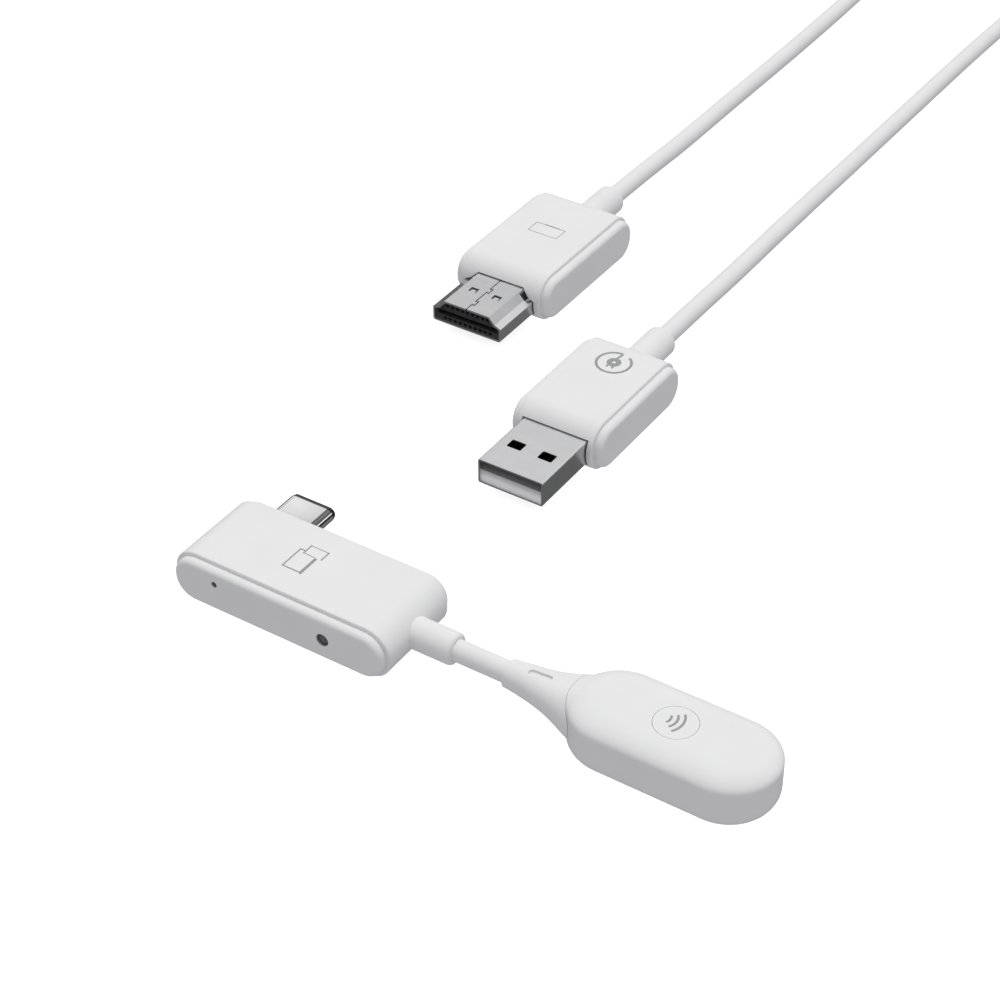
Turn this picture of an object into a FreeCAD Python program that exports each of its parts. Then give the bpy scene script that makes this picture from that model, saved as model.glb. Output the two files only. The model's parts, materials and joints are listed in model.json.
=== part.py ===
import FreeCAD, Part
import math
import os

# Wireless display set: a USB-C transmitter with an antenna pod on a short lead, and a
# receiver with an HDMI head, a USB-A power head and a receiver pod on free leads.
# Millimetres, +Z up. The layout is drawn with X and Y zero at a corner of the USB-A
# plug's mouth and Z zero on the table, then moved so that the origin is the middle of
# the bottom of everything but the free leads.

Vector = FreeCAD.Vector
os.makedirs("parts", exist_ok=True)

# ---- the family's shared section ----
BODY_HEIGHT = 8.8
MID = BODY_HEIGHT / 2
END_RADIUS = 4.2          # the two long ends of a head are nearly full rounds
WALL = 1.5                # of the moulded bands
BAND_ROUND = 0.3          # of a band's two outer rims
CAP_INSET = 0.65          # how far a side cap's outline lies inside its band
CAP_PROUD = 1.4
CAP_ROUND = 0.9
SPIGOT_DEPTH = 1.0        # of a cap inside its band
FIT_GAP = 0.05            # round anything that sits inside a housing
PLUG_FIT = 0.05           # gap round a plug's shell where it leaves its housing
PLUG_RELIEF = 0.2         # the wider gap at the surface, and how deep that goes
RELIEF_DEPTH = 1.2
BOARD_THICK = 0.8
WALL_CUT = 3.0            # depth of a hole cut through a band's wall
CAN_WALL = 0.2            # of a pressed shield can

# ---- leads and strain relief ----
LEAD_RADIUS = 1.7
SLEEVE_ROUND = 0.6
FLANGE_GROWTH = 0.7
FLANGE_THICK = 1.0
CORE_RADIUS = 0.45
CORE_OFFSET = 0.65        # of the four cores from the lead's middle
JACKET_BORE = 1.15

# ---- transmitter dongle ----
DONGLE_LEFT = -24.6
DONGLE_RIGHT = 14.4
DONGLE_Y = -36.9
DONGLE_HALF_BAND = 7.35
PINHOLE_X = -16.15
PINHOLE_Z = 5.8
PINHOLE_RADIUS = 0.5
LAMP_X = 3.5
LAMP_RADIUS = 1.03
LAMP_RECESS = 0.3
LAMP_FIT = 0.03
DONGLE_SLEEVE_RADIUS = 2.5
DONGLE_SLEEVE_END = 21.0
BOARD_GAP = 0.3           # between the dongle's board and its caps
BOARD_LEFT_GAP = 2.4
BOARD_RIGHT_GAP = 3.6
PLUG_NOTCH_HALF = 4.3     # of the board's notch round the plug
BEHIND_CAP = 1.0          # from the front cap to the reset switch
RESET_SWITCH_HALF = 1.8
RESET_SWITCH_DEEP = 2.2
RESET_SWITCH_TALL = 2.6
RESET_WELL_DEEP = 1.4
RESET_PROUD = 0.8         # of the plunger, and how deep it sits in its well
RESET_SUNK = 0.9
RESET_WELL = 0.55
RESET_RADIUS = 0.5        # of the plunger behind the pinhole

# ---- USB-C plug ----
USB_C_X = -16.1
USB_C_WIDTH = 8.25
USB_C_HEIGHT = 2.4
USB_C_PROUD = 6.9
USB_C_WALL = 0.3
USB_C_INSIDE = 4.2        # from the housing's face back to the plug's rear
USB_C_NOSE = 0.6          # length of the drawn-in lip
USB_C_NOSE_TAPER = 0.18
USB_C_SLOT_HALF = 0.35    # half the slot's height, for a 0.7 mm tongue
USB_C_SLOT_WIDE = 6.6
USB_C_PITCH = 0.5
USB_C_CONTACTS = 12       # in each of the two rows
USB_C_CONTACT_HALF = 0.125
USB_C_CONTACT_FACE = 0.25  # half the height between the two rows
USB_C_CONTACT_NEAR = 0.8  # from the plug's mouth
USB_C_CONTACT_FAR = 5.2
USB_C_MOUTH_DEEP = 5.6
USB_C_RECESS = 0.35       # from the plug's mouth to its plastic
LATCH_THICK = 0.25
LATCH_HALF = 0.3
LATCH_NEAR = 1.2
LATCH_FAR = 5.4
END_FLAT = 0.02           # left between the two rounds of each of the plug's ends

# ---- antenna pod ----
POD_Y = -37.07
NECK_START = 29.85
SEAM_GAP = 0.05           # between the neck and the pod's wall
NECK_SPIGOT = 2.3
POD_LEFT_CENTRE = 48.1
POD_RIGHT_CENTRE = 64.9
POD_RADIUS = 7.5
POD_WALL = 1.3
DOME_REACH = 4.15         # how far in from the wall the domed upper edge begins
DOME_DROP = 2.1           # and how far below the top it ends
FOOT_ROUND = 2.5          # of the lower edge
BASE_HEIGHT = 1.65
BUTTON_X = 56.7
BUTTON_RADIUS = 3.2
BUTTON_GAP = 0.06
BUTTON_FLANGE = 0.5
BUTTON_STEP = 0.8         # height of the flange that keeps the button in
BUTTON_STEM = 0.9
POD_BOARD_LOW = 2.6
POD_BOARD_LEFT = 46.4
POD_BOARD_RIGHT = 68.2
POD_BOARD_HALF = 5.1
POD_BOARD_ROUND = 3.0
POD_CAN_X = 64.6
POD_ANTENNA_X = 47.2
PLUNGER_SUNK = 0.5        # into the pod's switch, and how far it stands out
PLUNGER_PROUD = 0.7
PLUNGER_ROOM = 0.5        # under the plunger

# ---- USB-A head ----
USB_X = 6.0
USB_HALF_BAND = 7.1
USB_FRONT = 12.5
USB_REAR = 39.1
USB_PLUG_WIDTH = 12.0
USB_PLUG_HEIGHT = 4.5
USB_SHELL_WALL = 0.3
USB_INSIDE = 6.5          # from the housing's face back to the plug's rear
USB_TONGUE_TOP = 2.4      # above the plug's underside
USB_WINDOW_OUT = 2.85     # of each window's middle from the plug's
USB_WINDOW_WIDE = 2.6
USB_WINDOW_NEAR = 5.25
USB_WINDOW_FAR = 7.25
USB_WINDOW_ROUND = 0.25
USB_SHELL_ROUND = 0.35
USB_TONGUE_RECESS = 0.35  # from the plug's mouth to its plastic
# each contact's place across the plug, and where it starts behind the mouth
USB_CONTACTS = ((-3.5, 2.4), (-1.0, 3.4), (1.0, 3.4), (3.5, 2.4))
USB_CONTACT_HALF = 0.5
USB_BOARD_HALF = 5.5
HEAD_BOARD_END = 4.2      # from a head's rear to its board

# ---- HDMI head ----
HDMI_X = -25.2
HDMI_HALF_BAND = 8.15
HDMI_TIP = 34.3
HDMI_FRONT = 44.4
HDMI_REAR = 74.45
HDMI_PLUG_WIDTH = 13.9
HDMI_PLUG_HEIGHT = 4.45
HDMI_SIDE_HEIGHT = 2.65
HDMI_KINK_HEIGHT = 3.2
HDMI_LEDGE = 1.2
HDMI_SHOULDER = 2.37
HDMI_COLLAR = 0.9
HDMI_SHELL_WALL = 0.35
HDMI_INSIDE = 5.5         # from the housing's face back to the plug's rear
HDMI_BOTTOM_ROUND = 0.5
HDMI_RECESS = 0.3
HDMI_BOARD_HALF = 6.5
HDMI_CHIP_Y = 59.0
# how far each corner of the section moves in, per millimetre of shell
SIDE_SHARE = 0.8
KINK_SHARE = 1.1
WAIST_SHARE = 0.65
TOP_SHARE = 0.45
SEAM_WIDTH = 0.2
TAB_STARTS = (1.6, 6.1)
TAB_LENGTH = 1.5
TAB_SLANT = 0.2
TAB_REACH = 0.5           # of the seam's dovetail tabs
FLAP_PLACES = (-2.25, 2.45)
FLAP_WIDTH = 1.55
FLAP_NEAR = 5.05
FLAP_FAR = 6.35
FLAP_LEFT_GAP = 0.4
FLAP_FAR_GAP = 0.6
FLAP_RIGHT_GAP = 0.2
NOTCH_ABOVE_SIDE = 0.1    # of the notches at the shell's root
NOTCH_OUTSIDE_TOP = 0.15
NOTCH_BEHIND = 0.8
SLOT_LOW = -0.75
SLOT_HIGH = 0.15
SLOT_HALF = 6.1
SLOT_DEEP = 7.5
CONTACT_PITCH = 1.03
CONTACT_THICK = 0.12
CONTACT_HALF = 0.2
CONTACT_NEAR = 1.8        # from the plug's mouth
CONTACT_FAR = 6.5
PIT_RADIUS = 0.33
PIT_DEEP = 0.9
# the slot's wall, the contacts on it, which way they lie, and the height of their pits
HDMI_ROWS = (
    (SLOT_HIGH, 9, -CONTACT_THICK, 1.2),
    (SLOT_LOW, 10, CONTACT_THICK, -1.4),
)

HEAD_SLEEVE_RADIUS = 2.75
HEAD_SLEEVE_LENGTH = 8.1

# ---- receiver pod ----
RX_X = -27.3
RX_NEAR_CENTRE = 236.4
RX_FAR_CENTRE = 264.4
RX_RADIUS = 10.0
RX_SLEEVE_RADIUS = 2.5
RX_SLEEVE_LENGTH = 6.4
RX_BOARD_HALF = 7.0
RX_BOARD_END = 6.5        # from the pod's ends to its board
RX_CHIP_BACK = 6.0        # of the pod's middle
RX_CAN_AHEAD = 7.0
RX_ANTENNA_END = 8.4

# ---- coil of the power lead ----
COIL_X = -9.3
COIL_Y = 306.0
COIL_OUTER_TURN = 19.7
COIL_INNER_TURN = 16.2
COIL_LOW = 2.15
COIL_HIGH = 5.65
COIL_ROUND = 1.53
TIE_THICK = 0.4
TIE_WIDTH = 5.0
TIE_GAP = 0.05
BEND_SHARE = 0.45         # of a straight run that a bend may use up

# ---- parts on the boards: wide, deep, tall ----
VIDEO_CHIP = (8.0, 8.0, 0.9)
VIDEO_CHIP_AT = (-2.0, -37.4)
SHIELD_CAN = (6.6, 7.6, 1.8)
SHIELD_CAN_AT = (6.6, -37.1)
RESISTOR = (1.0, 0.6, 0.5)
RESISTOR_X = -9.5
RESISTOR_YS = (-40.9, -39.3, -37.7, -36.1, -34.5)
CAPACITOR = (0.8, 0.8, 0.6)
CAPACITOR_XS = (-7.6, -5.8, -4.0, -2.2, -0.4, 1.4)
CAPACITOR_Y = -32.3
LAMP_CHIP = (1.6, 0.8, 0.6)
LAMP_CHIP_BACK = 1.05     # from the front cap's spigot
POD_CAN = (7.0, 7.0, 1.6)
POD_ANTENNA = (1.6, 8.0, 1.0)
POD_SWITCH = (4.2, 4.2, 1.8)
POWER_CHIP = (3.0, 3.0, 1.2)
POWER_CHIP_AT = (4.0, 25.0)
POWER_CAPACITOR = (1.6, 0.9, 0.7)
POWER_CAPACITOR_X = 8.5
POWER_CAPACITOR_YS = (23.5, 25.9, 28.3, 30.7)
SIGNAL_CHIP = (5.0, 5.0, 0.9)
RX_CHIP = (9.0, 9.0, 1.1)
RX_CAN = (10.0, 9.0, 1.8)
RX_ANTENNA = (9.0, 1.6, 1.0)

# The origin is the middle of the box round everything but the free leads.
ORIGIN_X = (RX_X - RX_RADIUS + POD_RIGHT_CENTRE + POD_RADIUS) / 2
DONGLE_FACE_Y = DONGLE_Y - DONGLE_HALF_BAND - CAP_PROUD
RX_END = RX_FAR_CENTRE + RX_RADIUS + RX_SLEEVE_LENGTH
ORIGIN_Y = (DONGLE_FACE_Y + RX_END) / 2


def save(node, shape):
    moved = shape.copy()
    moved.translate(Vector(-ORIGIN_X, -ORIGIN_Y, 0))
    assert moved.isValid(), node
    moved.exportStep("parts/" + node + ".step")
    print(f"{node:24s} solids {len(moved.Solids):3d}  volume {moved.Volume:9.2f}")


def box(x0, x1, y0, y1, z0, z1):
    """A box by its limits; a box or rod that cuts runs 1 mm or more past its target."""
    return Part.makeBox(x1 - x0, y1 - y0, z1 - z0, Vector(x0, y0, z0))


def rod(radius, start, end):
    start, end = Vector(*start), Vector(*end)
    return Part.makeCylinder(radius, (end - start).Length, start, end - start)


def bar(axis, start, end, u0, u1, z0, z1, radius):
    """A bar along X or Y whose section is a rectangle with four rounded corners."""
    if axis == "X":
        shape = box(start, end, u0, u1, z0, z1)
    else:
        shape = box(u0, u1, start, end, z0, z1)
    along = Vector(1, 0, 0) if axis == "X" else Vector(0, 1, 0)
    edges = [e for e in shape.Edges if abs(e.tangentAt(0).dot(along)) > 0.99]
    return shape.makeFillet(radius, edges)


def fuse(shapes):
    whole = shapes[0]
    for shape in shapes[1:]:
        whole = whole.fuse(shape)
    return whole.removeSplitter()


def round_rim(shape, radius, is_rim):
    return shape.makeFillet(radius, [e for e in shape.Edges if is_rim(e)])


# ---- heads: a band closed by two stepped side caps ----


def lies_across(edge, axis):
    box_ = edge.BoundBox
    return (box_.XLength if axis == "X" else box_.YLength) < 1e-4


def cap(axis, side, centre, half_band, low, high):
    """A side cap: a spigot in the band's mouth and a proud, rounded boss."""
    face = centre + side * half_band
    outer = face + side * CAP_PROUD
    inner = face - side * SPIGOT_DEPTH
    boss = bar(
        axis, min(face, outer), max(face, outer), low + CAP_INSET, high - CAP_INSET,
        CAP_INSET, BODY_HEIGHT - CAP_INSET, END_RADIUS - CAP_INSET,
    )

    def at_outer_face(edge):
        spot = edge.BoundBox.XMin if axis == "X" else edge.BoundBox.YMin
        return lies_across(edge, axis) and abs(spot - outer) < 1e-4

    boss = round_rim(boss, CAP_ROUND, at_outer_face)
    edge = WALL + FIT_GAP
    spigot = bar(
        axis, min(inner, face), max(inner, face), low + edge, high - edge,
        edge, BODY_HEIGHT - edge, END_RADIUS - edge,
    )
    return boss.fuse(spigot).removeSplitter()


def band(axis, centre, half_band, low, high):
    """A moulded band: a bar with nearly full round ends and a straight tunnel."""
    start, end = centre - half_band, centre + half_band
    outside = bar(axis, start, end, low, high, 0, BODY_HEIGHT, END_RADIUS)
    outside = round_rim(outside, BAND_ROUND, lambda edge: lies_across(edge, axis))
    return outside.cut(tunnel(axis, start, end, low, high, 0))


def tunnel(axis, start, end, low, high, gap):
    """The straight space inside a band, or what fits in it with that gap all round."""
    edge = WALL + gap
    return bar(
        axis, start, end, low + edge, high - edge, edge, BODY_HEIGHT - edge, END_RADIUS - edge
    )


def sleeve(wall_at, end, radius, room):
    """A strain relief tube with a rounded tip, held by a flange that fits the room inside."""
    wall_at, end = Vector(*wall_at), Vector(*end)
    heading = (end - wall_at).normalize()
    start = wall_at - heading * FLANGE_THICK
    long = (end - start).Length
    tube = Part.makeCylinder(radius, long, start, heading)
    tip = [e for e in tube.Edges if e.Closed and (e.CenterOfMass - end).Length < 1e-3]
    tube = tube.makeFillet(SLEEVE_ROUND, tip)
    flange = Part.makeCylinder(radius + FLANGE_GROWTH, FLANGE_THICK, start, heading)
    hole = Part.makeCylinder(JACKET_BORE, long + 2, start - heading, heading)
    return tube.fuse(flange.common(room)).cut(hole).removeSplitter()


def chip(x, y, z, size):
    wide, deep, tall = size
    return box(x - wide / 2, x + wide / 2, y - deep / 2, y + deep / 2, z, z + tall)


def can(x, y, z, size):
    """A pressed shield can: five thin walls, open underneath."""
    wide, deep, tall = size
    hollow = chip(x, y, z, (wide - 2 * CAN_WALL, deep - 2 * CAN_WALL, tall - CAN_WALL))
    return chip(x, y, z, size).cut(hollow)


# ---- transmitter dongle ----


def usb_c_section(start, end, shrink):
    half_wide = USB_C_WIDTH / 2 - shrink
    half_high = USB_C_HEIGHT / 2 - shrink
    return bar(
        "Y", start, end, USB_C_X - half_wide, USB_C_X + half_wide,
        MID - half_high, MID + half_high, half_high - END_FLAT,
    )


def usb_c_nose(tip):
    """The lip at the plug's mouth, drawn in towards its edge."""
    rings = []
    for y, shrink in ((tip - USB_C_NOSE, 0), (tip, USB_C_NOSE_TAPER)):
        ends = usb_c_section(y, y + 1, shrink)
        flat = [f for f in ends.Faces if abs(f.CenterOfMass.y - y) < 1e-4]
        rings.append(flat[0].OuterWire)
    return Part.makeLoft(rings, True, True)


def make_usb_c_plug(face_y):
    tip = face_y + USB_C_PROUD
    rear = face_y - USB_C_INSIDE
    outside = usb_c_section(rear, tip - USB_C_NOSE, 0).fuse(usb_c_nose(tip))
    shell = outside.cut(usb_c_section(rear, tip, USB_C_WALL))
    insulator = usb_c_section(rear, tip - USB_C_RECESS, USB_C_WALL)
    half_slot = USB_C_SLOT_WIDE / 2
    mouth = box(
        USB_C_X - half_slot, USB_C_X + half_slot, tip - USB_C_MOUTH_DEEP, tip,
        MID - USB_C_SLOT_HALF, MID + USB_C_SLOT_HALF,
    )
    insulator = insulator.cut(mouth)
    strips = []
    for number in range(USB_C_CONTACTS):
        x = USB_C_X + (number - (USB_C_CONTACTS - 1) / 2) * USB_C_PITCH
        left, right = x - USB_C_CONTACT_HALF, x + USB_C_CONTACT_HALF
        for side in (-1, 1):
            low, high = sorted((MID + side * USB_C_SLOT_HALF, MID + side * USB_C_CONTACT_FACE))
            strips.append(
                box(left, right, tip - USB_C_CONTACT_FAR, tip - USB_C_CONTACT_NEAR, low, high)
            )
    latches = []
    for side in (-1, 1):
        wall, face = USB_C_X + side * half_slot, USB_C_X + side * (half_slot - LATCH_THICK)
        near, far = sorted((wall, face))
        latches.append(
            box(near, far, tip - LATCH_FAR, tip - LATCH_NEAR, MID - LATCH_HALF, MID + LATCH_HALF)
        )
    save("usb_c_shell", shell)
    save("usb_c_insulator", insulator)
    save("usb_c_contacts", Part.makeCompound(strips))
    save("usb_c_latches", Part.makeCompound(latches))
    return rear


def make_dongle():
    low, high = DONGLE_LEFT, DONGLE_RIGHT
    front, rear = (
        cap("Y", side, DONGLE_Y, DONGLE_HALF_BAND, low, high) for side in (-1, 1)
    )
    spigot_front = DONGLE_Y - DONGLE_HALF_BAND + SPIGOT_DEPTH
    pinhole = rod(
        PINHOLE_RADIUS,
        (PINHOLE_X, DONGLE_FACE_Y - 1, PINHOLE_Z), (PINHOLE_X, spigot_front + 1, PINHOLE_Z),
    )
    lamp_hole = rod(
        LAMP_RADIUS + LAMP_FIT,
        (LAMP_X, DONGLE_FACE_Y - 1, MID), (LAMP_X, spigot_front + 1, MID),
    )
    save("dongle_front_cap", front.cut(pinhole).cut(lamp_hole))

    rear_face = DONGLE_Y + DONGLE_HALF_BAND + CAP_PROUD
    plug_gap = usb_c_section(rear_face - USB_C_INSIDE, rear_face + 1, -PLUG_FIT)
    save("dongle_rear_cap", rear.cut(plug_gap))
    plug_rear = make_usb_c_plug(rear_face)

    sleeve_hole = rod(
        DONGLE_SLEEVE_RADIUS, (high - WALL_CUT, DONGLE_Y, MID), (high + 1, DONGLE_Y, MID)
    )
    body = band("Y", DONGLE_Y, DONGLE_HALF_BAND, low, high).cut(sleeve_hole)
    save("dongle_band", body)
    room = tunnel(
        "Y", DONGLE_Y - DONGLE_HALF_BAND, DONGLE_Y + DONGLE_HALF_BAND, low, high, FIT_GAP
    )
    relief = sleeve(
        (high - WALL, DONGLE_Y, MID), (DONGLE_SLEEVE_END, DONGLE_Y, MID),
        DONGLE_SLEEVE_RADIUS, room,
    )
    save("dongle_lead_sleeve", relief)

    board_low = MID - BOARD_THICK
    board_front = spigot_front + BOARD_GAP
    board_rear = DONGLE_Y + DONGLE_HALF_BAND - SPIGOT_DEPTH - BOARD_GAP
    board = box(
        low + BOARD_LEFT_GAP, high - BOARD_RIGHT_GAP, board_front, board_rear, board_low, MID
    )
    notch = box(
        USB_C_X - PLUG_NOTCH_HALF, USB_C_X + PLUG_NOTCH_HALF, plug_rear - 2 * FIT_GAP,
        board_rear + 1, board_low - 1, MID + 1,
    )
    save("dongle_board", board.cut(notch))
    save("dongle_video_chip", chip(*VIDEO_CHIP_AT, MID, VIDEO_CHIP))
    save("dongle_shield_can", can(*SHIELD_CAN_AT, MID, SHIELD_CAN))
    small = [chip(RESISTOR_X, y, MID, RESISTOR) for y in RESISTOR_YS]
    small += [chip(x, CAPACITOR_Y, MID, CAPACITOR) for x in CAPACITOR_XS]
    save("dongle_small_parts", Part.makeCompound(small))

    save("status_lamp", chip(LAMP_X, spigot_front + LAMP_CHIP_BACK, MID, LAMP_CHIP))
    pipe = rod(
        LAMP_RADIUS, (LAMP_X, DONGLE_FACE_Y + LAMP_RECESS, MID), (LAMP_X, spigot_front, MID)
    )
    save("lamp_lens", pipe)

    switch_front = spigot_front + BEHIND_CAP
    switch = box(
        PINHOLE_X - RESET_SWITCH_HALF, PINHOLE_X + RESET_SWITCH_HALF,
        switch_front, switch_front + RESET_SWITCH_DEEP, MID, MID + RESET_SWITCH_TALL,
    )
    well = rod(
        RESET_WELL, (PINHOLE_X, switch_front - 1, PINHOLE_Z),
        (PINHOLE_X, switch_front + RESET_WELL_DEEP, PINHOLE_Z),
    )
    save("reset_switch", switch.cut(well))
    plunger = rod(
        RESET_RADIUS, (PINHOLE_X, switch_front - RESET_PROUD, PINHOLE_Z),
        (PINHOLE_X, switch_front + RESET_SUNK, PINHOLE_Z),
    )
    save("reset_plunger", plunger)


def make_pod_lead():
    start, end = (DONGLE_SLEEVE_END, DONGLE_Y, MID), (NECK_START, DONGLE_Y, MID)
    jacket = rod(LEAD_RADIUS, start, end).cut(rod(JACKET_BORE, start, end))
    save("pod_lead_jacket", jacket)
    cores = []
    for quarter in range(4):
        angle = math.radians(45 + 90 * quarter)
        y = DONGLE_Y + CORE_OFFSET * math.cos(angle)
        z = MID + CORE_OFFSET * math.sin(angle)
        cores.append(rod(CORE_RADIUS, (start[0], y, z), (end[0], y, z)))
    save("pod_lead_cores", Part.makeCompound(cores))


# ---- antenna pod ----


def half_section(x, y, side, radius, low, high, inset):
    """Half of a pod's upright section, from its middle out to its wall on one side."""
    reach, drop, foot = DOME_REACH - inset, DOME_DROP - inset, FOOT_ROUND - inset

    def at(out, up):
        return Vector(x, y + side * out, up)

    slant = foot * math.sqrt(0.5)
    foot_middle = at(radius - foot + slant, low + foot - slant)
    dome_start, dome_end = at(radius, high - drop), at(radius - reach, high)
    dome = Part.Ellipse(dome_start, dome_end, at(radius - reach, high - drop))
    edges = [
        Part.makeLine(at(0, low), at(radius - foot, low)),
        Part.Arc(at(radius - foot, low), foot_middle, at(radius, low + foot)).toShape(),
        Part.makeLine(at(radius, low + foot), dome_start),
        Part.ArcOfEllipse(dome, 0, math.pi / 2).toShape(),
        Part.makeLine(dome_end, at(0, high)),
        Part.makeLine(at(0, high), at(0, low)),
    ]
    return Part.Face(Part.Wire(edges))


def puck(left, right, y, wall_radius, inset):
    """A pod lying along X with round ends, or what lies that far inside it."""
    radius, low, high = wall_radius - inset, inset, BODY_HEIGHT - inset
    solids = []
    for side in (-1, 1):
        half = half_section(left, y, side, radius, low, high, inset)
        solids.append(half.extrude(Vector(right - left, 0, 0)))
    for x, turn in ((left, 180), (right, -180)):
        half = half_section(x, y, 1, radius, low, high, inset)
        solids.append(half.revolve(Vector(x, y, 0), Vector(0, 0, 1), turn))
    return fuse(solids)


# Sections of the flared neck: x, the middle's y, half width, half height, corner radius.
NECK_SECTIONS = (
    (NECK_START, DONGLE_Y, 2.15, 2.15, 2.05),
    (32.0, DONGLE_Y, 2.38, 2.28, 2.15),
    (34.5, DONGLE_Y - 0.06, 2.76, 2.44, 2.30),
    (37.0, DONGLE_Y - 0.14, 3.32, 2.72, 2.60),
    (39.5, DONGLE_Y - 0.22, 4.15, 3.20, 3.05),
    (41.5, DONGLE_Y - 0.28, 4.95, 3.74, 3.60),
    (43.2, POD_Y, 5.65, 4.20, 4.00),
    (45.2, POD_Y, 6.20, 4.37, 4.10),
)
GROOVE_NEAR = 33.95
GROOVE_FAR = 36.6
GROOVE_HALF = 0.62
GROOVE_OFFSET = 0.39      # towards the front from the neck's middle
GROOVE_FLOOR = 6.42       # at its near end, from where it climbs with the neck's top
GROOVE_CLIMB = 5.0        # degrees


def section_wire(x, y, half_wide, half_high, radius):
    """A rectangle with rounded corners, as eight edges in the plane of that x."""
    flat_y, flat_z = half_wide - radius, half_high - radius
    slant = radius * math.sqrt(0.5)

    def at(across, up):
        return Vector(x, y + across, MID + up)

    edges = []
    for sy, sz in ((1, 1), (-1, 1), (-1, -1), (1, -1)):
        on_side = at(sy * half_wide, sz * flat_z)
        on_top = at(sy * flat_y, sz * half_high)
        middle = at(sy * (flat_y + slant), sz * (flat_z + slant))
        turns_to_top = sy == sz
        first, last = (on_side, on_top) if turns_to_top else (on_top, on_side)
        edges.append(Part.Arc(first, middle, last).toShape())
    joined = []
    for number, arc in enumerate(edges):
        following = edges[(number + 1) % 4]
        joined.append(arc)
        joined.append(Part.makeLine(arc.Vertexes[-1].Point, following.Vertexes[0].Point))
    return Part.Wire(joined)


def neck_groove():
    """A shallow slot along the neck's top, with round ends."""
    centre_y = DONGLE_Y - GROOVE_OFFSET
    groove = box(
        GROOVE_NEAR, GROOVE_FAR, centre_y - GROOVE_HALF, centre_y + GROOVE_HALF,
        GROOVE_FLOOR, BODY_HEIGHT,
    )
    for x in (GROOVE_NEAR, GROOVE_FAR):
        end = rod(GROOVE_HALF, (x, centre_y, GROOVE_FLOOR), (x, centre_y, BODY_HEIGHT))
        groove = groove.fuse(end)
    pivot = Vector(GROOVE_NEAR, centre_y, GROOVE_FLOOR)
    groove.rotate(pivot, Vector(0, 1, 0), -GROOVE_CLIMB)
    return groove


def make_pod():
    loft = Part.makeLoft([section_wire(*s) for s in NECK_SECTIONS], True, False)
    outer, hollow, flange_room = (
        puck(POD_LEFT_CENTRE, POD_RIGHT_CENTRE, POD_Y, POD_RADIUS, inset)
        for inset in (0, POD_WALL, POD_WALL + FIT_GAP)
    )
    # the seam is the puck's round end, carried straight up through the flare
    seam, seam_gap = (
        Part.makeCylinder(radius, BODY_HEIGHT + 2, Vector(POD_LEFT_CENTRE, POD_Y, -1))
        for radius in (POD_RADIUS, POD_RADIUS + SEAM_GAP)
    )
    neck = loft.cut(seam_gap)
    body = outer.fuse(loft.common(seam))
    body = body.cut(hollow)

    seam_x = POD_LEFT_CENTRE - POD_RADIUS
    hollow_x = seam_x + POD_WALL
    spigot = rod(NECK_SPIGOT, (seam_x - 2, POD_Y, MID), (hollow_x + FLANGE_THICK, POD_Y, MID))
    body = body.cut(spigot)
    flange = rod(
        NECK_SPIGOT + FLANGE_GROWTH, (hollow_x, POD_Y, MID), (hollow_x + FLANGE_THICK, POD_Y, MID)
    )
    bore = rod(JACKET_BORE, (NECK_START - 1, DONGLE_Y, MID), (hollow_x + 2, POD_Y, MID))
    neck = neck.fuse(spigot).fuse(flange.common(flange_room)).cut(bore).cut(neck_groove())

    base_zone = box(
        seam_x - 6, POD_RIGHT_CENTRE + POD_RADIUS + 1,
        POD_Y - POD_RADIUS - 1, POD_Y + POD_RADIUS + 1, -1, BASE_HEIGHT,
    )
    button_hole = rod(
        BUTTON_RADIUS + BUTTON_GAP, (BUTTON_X, POD_Y, MID + 1),
        (BUTTON_X, POD_Y, BODY_HEIGHT + 1),
    )
    save("pod_neck", neck)
    save("pod_upper_shell", body.cut(base_zone).cut(button_hole))
    save("pod_base", body.common(base_zone))


def make_pod_inside():
    board_top = POD_BOARD_LOW + BOARD_THICK
    board = box(
        POD_BOARD_LEFT, POD_BOARD_RIGHT, POD_Y - POD_BOARD_HALF, POD_Y + POD_BOARD_HALF,
        POD_BOARD_LOW, board_top,
    )
    corners = [e for e in board.Edges if e.BoundBox.ZLength > BOARD_THICK / 2]
    save("pod_board", board.makeFillet(POD_BOARD_ROUND, corners))
    save("pod_radio_can", can(POD_CAN_X, POD_Y, board_top, POD_CAN))
    save("pod_antenna", chip(POD_ANTENNA_X, POD_Y, board_top, POD_ANTENNA))

    switch = chip(BUTTON_X, POD_Y, board_top, POD_SWITCH)
    switch_top = switch.BoundBox.ZMax
    plunger_low, plunger_top = switch_top - PLUNGER_SUNK, switch_top + PLUNGER_PROUD

    def upright(radius, start, end):
        return rod(radius, (BUTTON_X, POD_Y, start), (BUTTON_X, POD_Y, end))

    well = upright(BUTTON_STEM + FIT_GAP, plunger_low - PLUNGER_ROOM, switch_top + 1)
    save("pod_switch", switch.cut(well))
    save("pod_switch_plunger", upright(BUTTON_STEM, plunger_low, plunger_top))

    ceiling = BODY_HEIGHT - POD_WALL
    levels = (
        (BUTTON_STEM, plunger_top, ceiling - BUTTON_STEP),
        (BUTTON_RADIUS + BUTTON_FLANGE, ceiling - BUTTON_STEP, ceiling - FIT_GAP),
        (BUTTON_RADIUS, ceiling - BUTTON_STEP / 2, BODY_HEIGHT),
    )
    save("pod_button", fuse([upright(*level) for level in levels]))


# ---- USB-A head ----


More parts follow.
